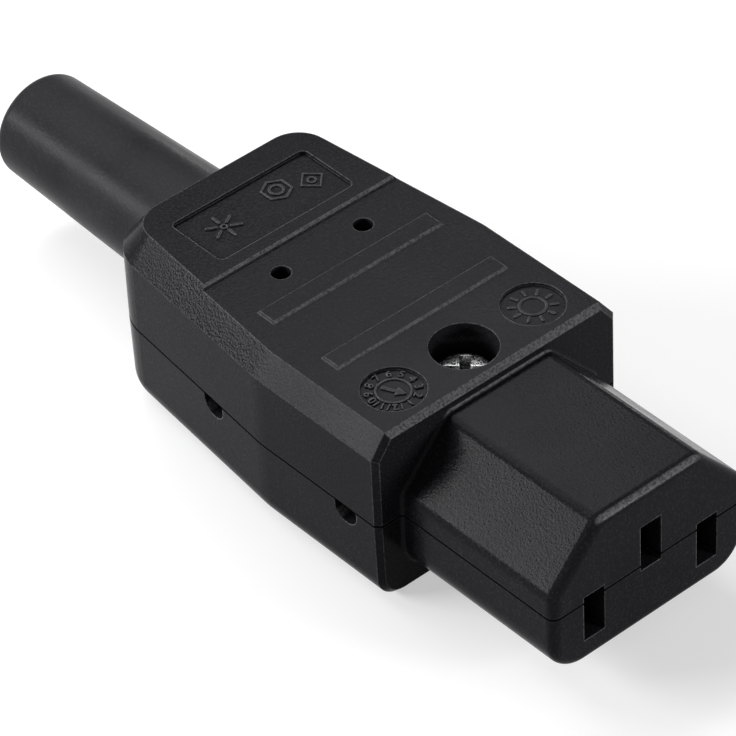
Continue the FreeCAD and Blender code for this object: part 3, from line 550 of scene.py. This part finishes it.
def raised_number(mesh, text, centre, turn, height, floor, rise):
    """Raised number, turned about its centre, added to a mesh."""
    curve = bpy.data.curves.new("number", "FONT")
    curve.body = text
    curve.size = height * FONT_SHARE
    curve.extrude = rise / 2
    curve.offset = height * STROKE_SHARE
    curve.align_x = "CENTER"
    curve.align_y = "CENTER"
    carrier = bpy.data.objects.new("number", curve)
    bpy.context.scene.collection.objects.link(carrier)
    bpy.context.view_layer.update()
    shape = bpy.data.meshes.new_from_object(carrier)
    shape.transform(Matrix.Translation((centre[0], centre[1], floor + rise / 2))
                    @ Matrix.Rotation(turn, 4, "Z"))
    mesh.from_mesh(shape)
    bpy.data.objects.remove(carrier)
    bpy.data.curves.remove(curve)
    bpy.data.meshes.remove(shape)


class FinishShells(bpy.types.Operator):
    """Give both shells and the clamp bar their moulded plastic"""

    bl_idname = "connector.finish_shells"
    bl_label = "Finish Shells"

    def execute(self, context):
        plastic = context.scene.connector_plastic
        black = moulded_plastic("shell_plastic", plastic.shell_colour[:],
                                plastic.speck_colour[:], plastic.worn_and_highlight_colour[:], plastic)
        finish_nodes(SHELLS, black)
        # The raised marks get the edge colour as wear and a painted highlight.
        moulded_plastic("mark_plastic", plastic.speck_colour[:], plastic.speck_colour[:],
                        plastic.mark_wear_and_highlight_colour[:], plastic)
        paler = scaled(plastic.clamp_colour, 2)
        grey = moulded_plastic("clamp_plastic", plastic.clamp_colour[:], paler, paler, plastic)
        finish_nodes(("clamp_bar",), grey)
        return {"FINISHED"}


class FinishBoot(bpy.types.Operator):
    """Give the cable boot its satin rubber"""

    bl_idname = "connector.finish_boot"
    bl_label = "Finish Boot"

    def execute(self, context):
        finish_nodes(("cable_boot",), boot_rubber("boot_rubber", context.scene.connector_rubber))
        return {"FINISHED"}


class FinishMetal(bpy.types.Operator):
    """Give screws, washer, clips, contacts and terminals their metals"""

    bl_idname = "connector.finish_metal"
    bl_label = "Finish Metal"

    def execute(self, context):
        metal = context.scene.connector_metal
        for name, nodes, shade, along, scratch in METALS:
            base = getattr(metal, shade)[:]
            finish_nodes(nodes, worked_metal(name, base, metal, along, scratch))
        return {"FINISHED"}


class AddDateDial(bpy.types.Operator):
    """Raise a plain numbered dial with a pointer in the left round recess"""

    bl_idname = "connector.add_date_dial"
    bl_label = "Add Date Dial"

    def execute(self, context):
        marks = context.scene.connector_marks
        mesh = bmesh.new()
        centre = Vector((RING_CENTRE_X, -RING_OFFSET))
        rise, line = marks.mark_height, marks.mark_line
        inner = marks.dial_radius - marks.number_height * DIAL_GAP
        raised_ring(mesh, centre, inner, line * DIAL_LINE, RING_FLOOR, rise)
        for count in range(marks.dial_numbers):
            turn = 2 * math.pi * count / marks.dial_numbers
            spot = centre + Vector((math.cos(turn), math.sin(turn))) * marks.dial_radius
            raised_number(mesh, str(count + 1), spot, turn - math.pi / 2,
                          marks.number_height, RING_FLOOR, rise)
        raised_pointer(mesh, centre, inner * ARROW_REACH, line, ARROW_TURN, RING_FLOOR, rise)
        finish_piece("date_dial", mesh, bpy.data.materials["mark_plastic"])
        return {"FINISHED"}


class AddTickRing(bpy.types.Operator):
    """Raise a faint plain ring with ticks in the right round recess"""

    bl_idname = "connector.add_tick_ring"
    bl_label = "Add Tick Ring"

    def execute(self, context):
        marks = context.scene.connector_marks
        mesh = bmesh.new()
        centre = Vector((RING_CENTRE_X, RING_OFFSET))
        rise, line = marks.mark_height * TICK_RISE, marks.mark_line
        inner = marks.dial_radius * TICK_RING
        raised_ring(mesh, centre, inner, line, RING_FLOOR, rise)
        for count in range(marks.ring_ticks):
            turn = 2 * math.pi * (count + 0.5) / marks.ring_ticks
            way = Vector((math.cos(turn), math.sin(turn)))
            raised_stroke(mesh, centre + way * (inner + line * TICK_GAP),
                          centre + way * marks.dial_radius, line, RING_FLOOR, rise)
        finish_piece("tick_ring", mesh, bpy.data.materials["mark_plastic"])
        return {"FINISHED"}


class AddLabelMarks(bpy.types.Operator):
    """Raise a few plain shapes on the floor of the label recess"""

    bl_idname = "connector.add_label_marks"
    bl_label = "Add Label Marks"

    def execute(self, context):
        marks = context.scene.connector_marks
        mesh = bmesh.new()
        rise, line = marks.mark_height, marks.mark_line
        for count in range(RAY_COUNT):
            turn = 2 * math.pi * count / RAY_COUNT
            way = Vector((math.cos(turn), math.sin(turn)))
            raised_stroke(mesh, RAY_CENTRE + way * RAY_START, RAY_CENTRE + way * RAY_END, line,
                          LABEL_FLOOR, rise)
        for centre, radius, share_of_line, sides in LABEL_RINGS:
            raised_ring(mesh, centre, radius, line * share_of_line, LABEL_FLOOR, rise, sides)
        finish_piece("label_marks", mesh, bpy.data.materials["mark_plastic"])
        return {"FINISHED"}


def soft_lamp(name, power, heading, distance, width, height, focus):
    """Oblong area lamp that shines on the part from one direction."""
    lamp = bpy.data.lights.new(name, "AREA")
    lamp.shape = "RECTANGLE"
    lamp.size, lamp.size_y = width, height
    lamp.energy = power
    carrier = bpy.data.objects.new(name, lamp)
    heading = Vector(heading).normalized()
    carrier.location = focus + heading * distance
    carrier.rotation_euler = heading.to_track_quat("Z", "Y").to_euler()
    bpy.context.scene.collection.objects.link(carrier)


def seen_rays(tree):
    """One for rays that show the background: straight, mirrored or through glass."""
    path = add(tree, "ShaderNodeLightPath").outputs
    shown = calculate(tree, "MAXIMUM", path["Is Camera Ray"], path["Is Glossy Ray"])
    return calculate(tree, "MAXIMUM", shown, path["Is Transmission Ray"])


def floor_material(colour_value):
    """Pale floor that keeps the part's shadow and fades to white away from the part."""
    material, tree = new_material("pale_floor")
    where = object_point(tree)
    cloud = noise(tree, where, FLOOR_CLOUD)
    pale = mix(tree, ranged(tree, cloud, CLOUD_RANGE, high=0.08), colour_value,
               scaled(colour_value, FLOOR_PATCH))
    matte = add(tree, "ShaderNodeBsdfDiffuse", {"Color": pale})
    away = add(tree, "ShaderNodeVectorMath", {0: where}, operation="LENGTH").outputs["Value"]
    fade = ranged(tree, away, FLOOR_FADE, *FLOOR_GLOW)
    glow = add(tree, "ShaderNodeEmission",
               {"Color": (1, 1, 1, 1), "Strength": calculate(tree, "MULTIPLY",
                                                             seen_rays(tree), fade)})
    both = add(tree, "ShaderNodeAddShader", {0: matte.outputs[0], 1: glow.outputs[0]})
    add(tree, "ShaderNodeOutputMaterial", {"Surface": both.outputs[0]})
    return material


class BuildStage(bpy.types.Operator):
    """Set the camera, the lamps, the pale floor and the white surroundings"""

    bl_idname = "connector.build_stage"
    bl_label = "Build Stage"

    def execute(self, context):
        stage = context.scene.connector_stage
        focus = Vector(stage.focus)
        flat = math.cos(stage.elevation)
        back = Vector((math.sin(stage.azimuth) * flat, -math.cos(stage.azimuth) * flat,
                       math.sin(stage.elevation)))
        right = Vector((math.cos(stage.azimuth), math.sin(stage.azimuth), 0))
        up = back.cross(right)
        rolled_right = math.cos(stage.roll) * right + math.sin(stage.roll) * up
        rolled_up = -math.sin(stage.roll) * right + math.cos(stage.roll) * up
        camera_data = bpy.data.cameras.new("camera")
        camera_data.lens = stage.lens
        camera_data.sensor_width = SENSOR_WIDTH
        camera_data.clip_start = CLIP_START
        camera_data.clip_end = CLIP_END
        camera = bpy.data.objects.new("camera", camera_data)
        axes = Matrix((rolled_right, rolled_up, back)).transposed().to_4x4()
        camera.matrix_world = Matrix.Translation(focus + back * stage.distance) @ axes
        context.scene.collection.objects.link(camera)
        context.scene.camera = camera

        for name, power, heading, distance, width, height in LAMPS:
            soft_lamp(name, getattr(stage, power), heading, distance, width, height, focus)

        ground = bmesh.new()
        bmesh.ops.create_circle(ground, cap_ends=True, segments=FLOOR_SIDES,
                                radius=FLOOR_RADIUS)
        for vertex in ground.verts:
            vertex.co.z = FLOOR_LEVEL
        data = bpy.data.meshes.new("studio_floor")
        ground.to_mesh(data)
        ground.free()
        floor = bpy.data.objects.new("studio_floor", data)
        data.materials.append(floor_material(stage.floor_colour[:]))
        context.scene.collection.objects.link(floor)

        world = bpy.data.worlds.new("studio_world")
        world.use_nodes = True
        tree = world.node_tree
        tree.nodes.clear()
        strength = ranged(tree, seen_rays(tree), (0.0, 1.0), UNSEEN_SKY)
        sky = add(tree, "ShaderNodeBackground", {"Color": (1, 1, 1, 1), "Strength": strength})
        add(tree, "ShaderNodeOutputWorld", {"Surface": sky.outputs[0]})
        context.scene.world = world
        context.scene.view_settings.view_transform = "Standard"
        return {"FINISHED"}


STEPS = (FinishShells, FinishBoot, FinishMetal, AddDateDial, AddTickRing, AddLabelMarks,
         BuildStage)
GROUPS = (("connector_plastic", ConnectorPlastic), ("connector_rubber", ConnectorRubber),
          ("connector_metal", ConnectorMetal), ("connector_marks", ConnectorMarks),
          ("connector_stage", ConnectorStage))


class ConnectorPanel(bpy.types.Panel):
    """Lists the steps that dress the connector"""

    bl_idname = "VIEW3D_PT_connector"
    bl_label = "Connector"
    bl_space_type = "VIEW_3D"
    bl_region_type = "UI"
    bl_category = "Connector"

    def draw(self, context):
        for step in STEPS:
            self.layout.operator(step.bl_idname)
        for name, group in GROUPS:
            box = self.layout.box()
            box.label(text=group.__doc__)
            for field in group.__annotations__:
                box.prop(getattr(context.scene, name), field)


def register():
    for name, group in GROUPS:
        bpy.utils.register_class(group)
        setattr(bpy.types.Scene, name, PointerProperty(type=group))
    for item in (*STEPS, ConnectorPanel):
        bpy.utils.register_class(item)


def unregister():
    for item in (ConnectorPanel, *reversed(STEPS)):
        bpy.utils.unregister_class(item)
    for name, group in reversed(GROUPS):
        delattr(bpy.types.Scene, name)
        bpy.utils.unregister_class(group)


def main():
    register()
    bpy.ops.connector.finish_shells()
    bpy.ops.connector.finish_boot()
    bpy.ops.connector.finish_metal()
    bpy.ops.connector.add_date_dial()
    bpy.ops.connector.add_tick_ring()
    bpy.ops.connector.add_label_marks()
    bpy.ops.connector.build_stage()


if __name__ == "__main__":
    main()
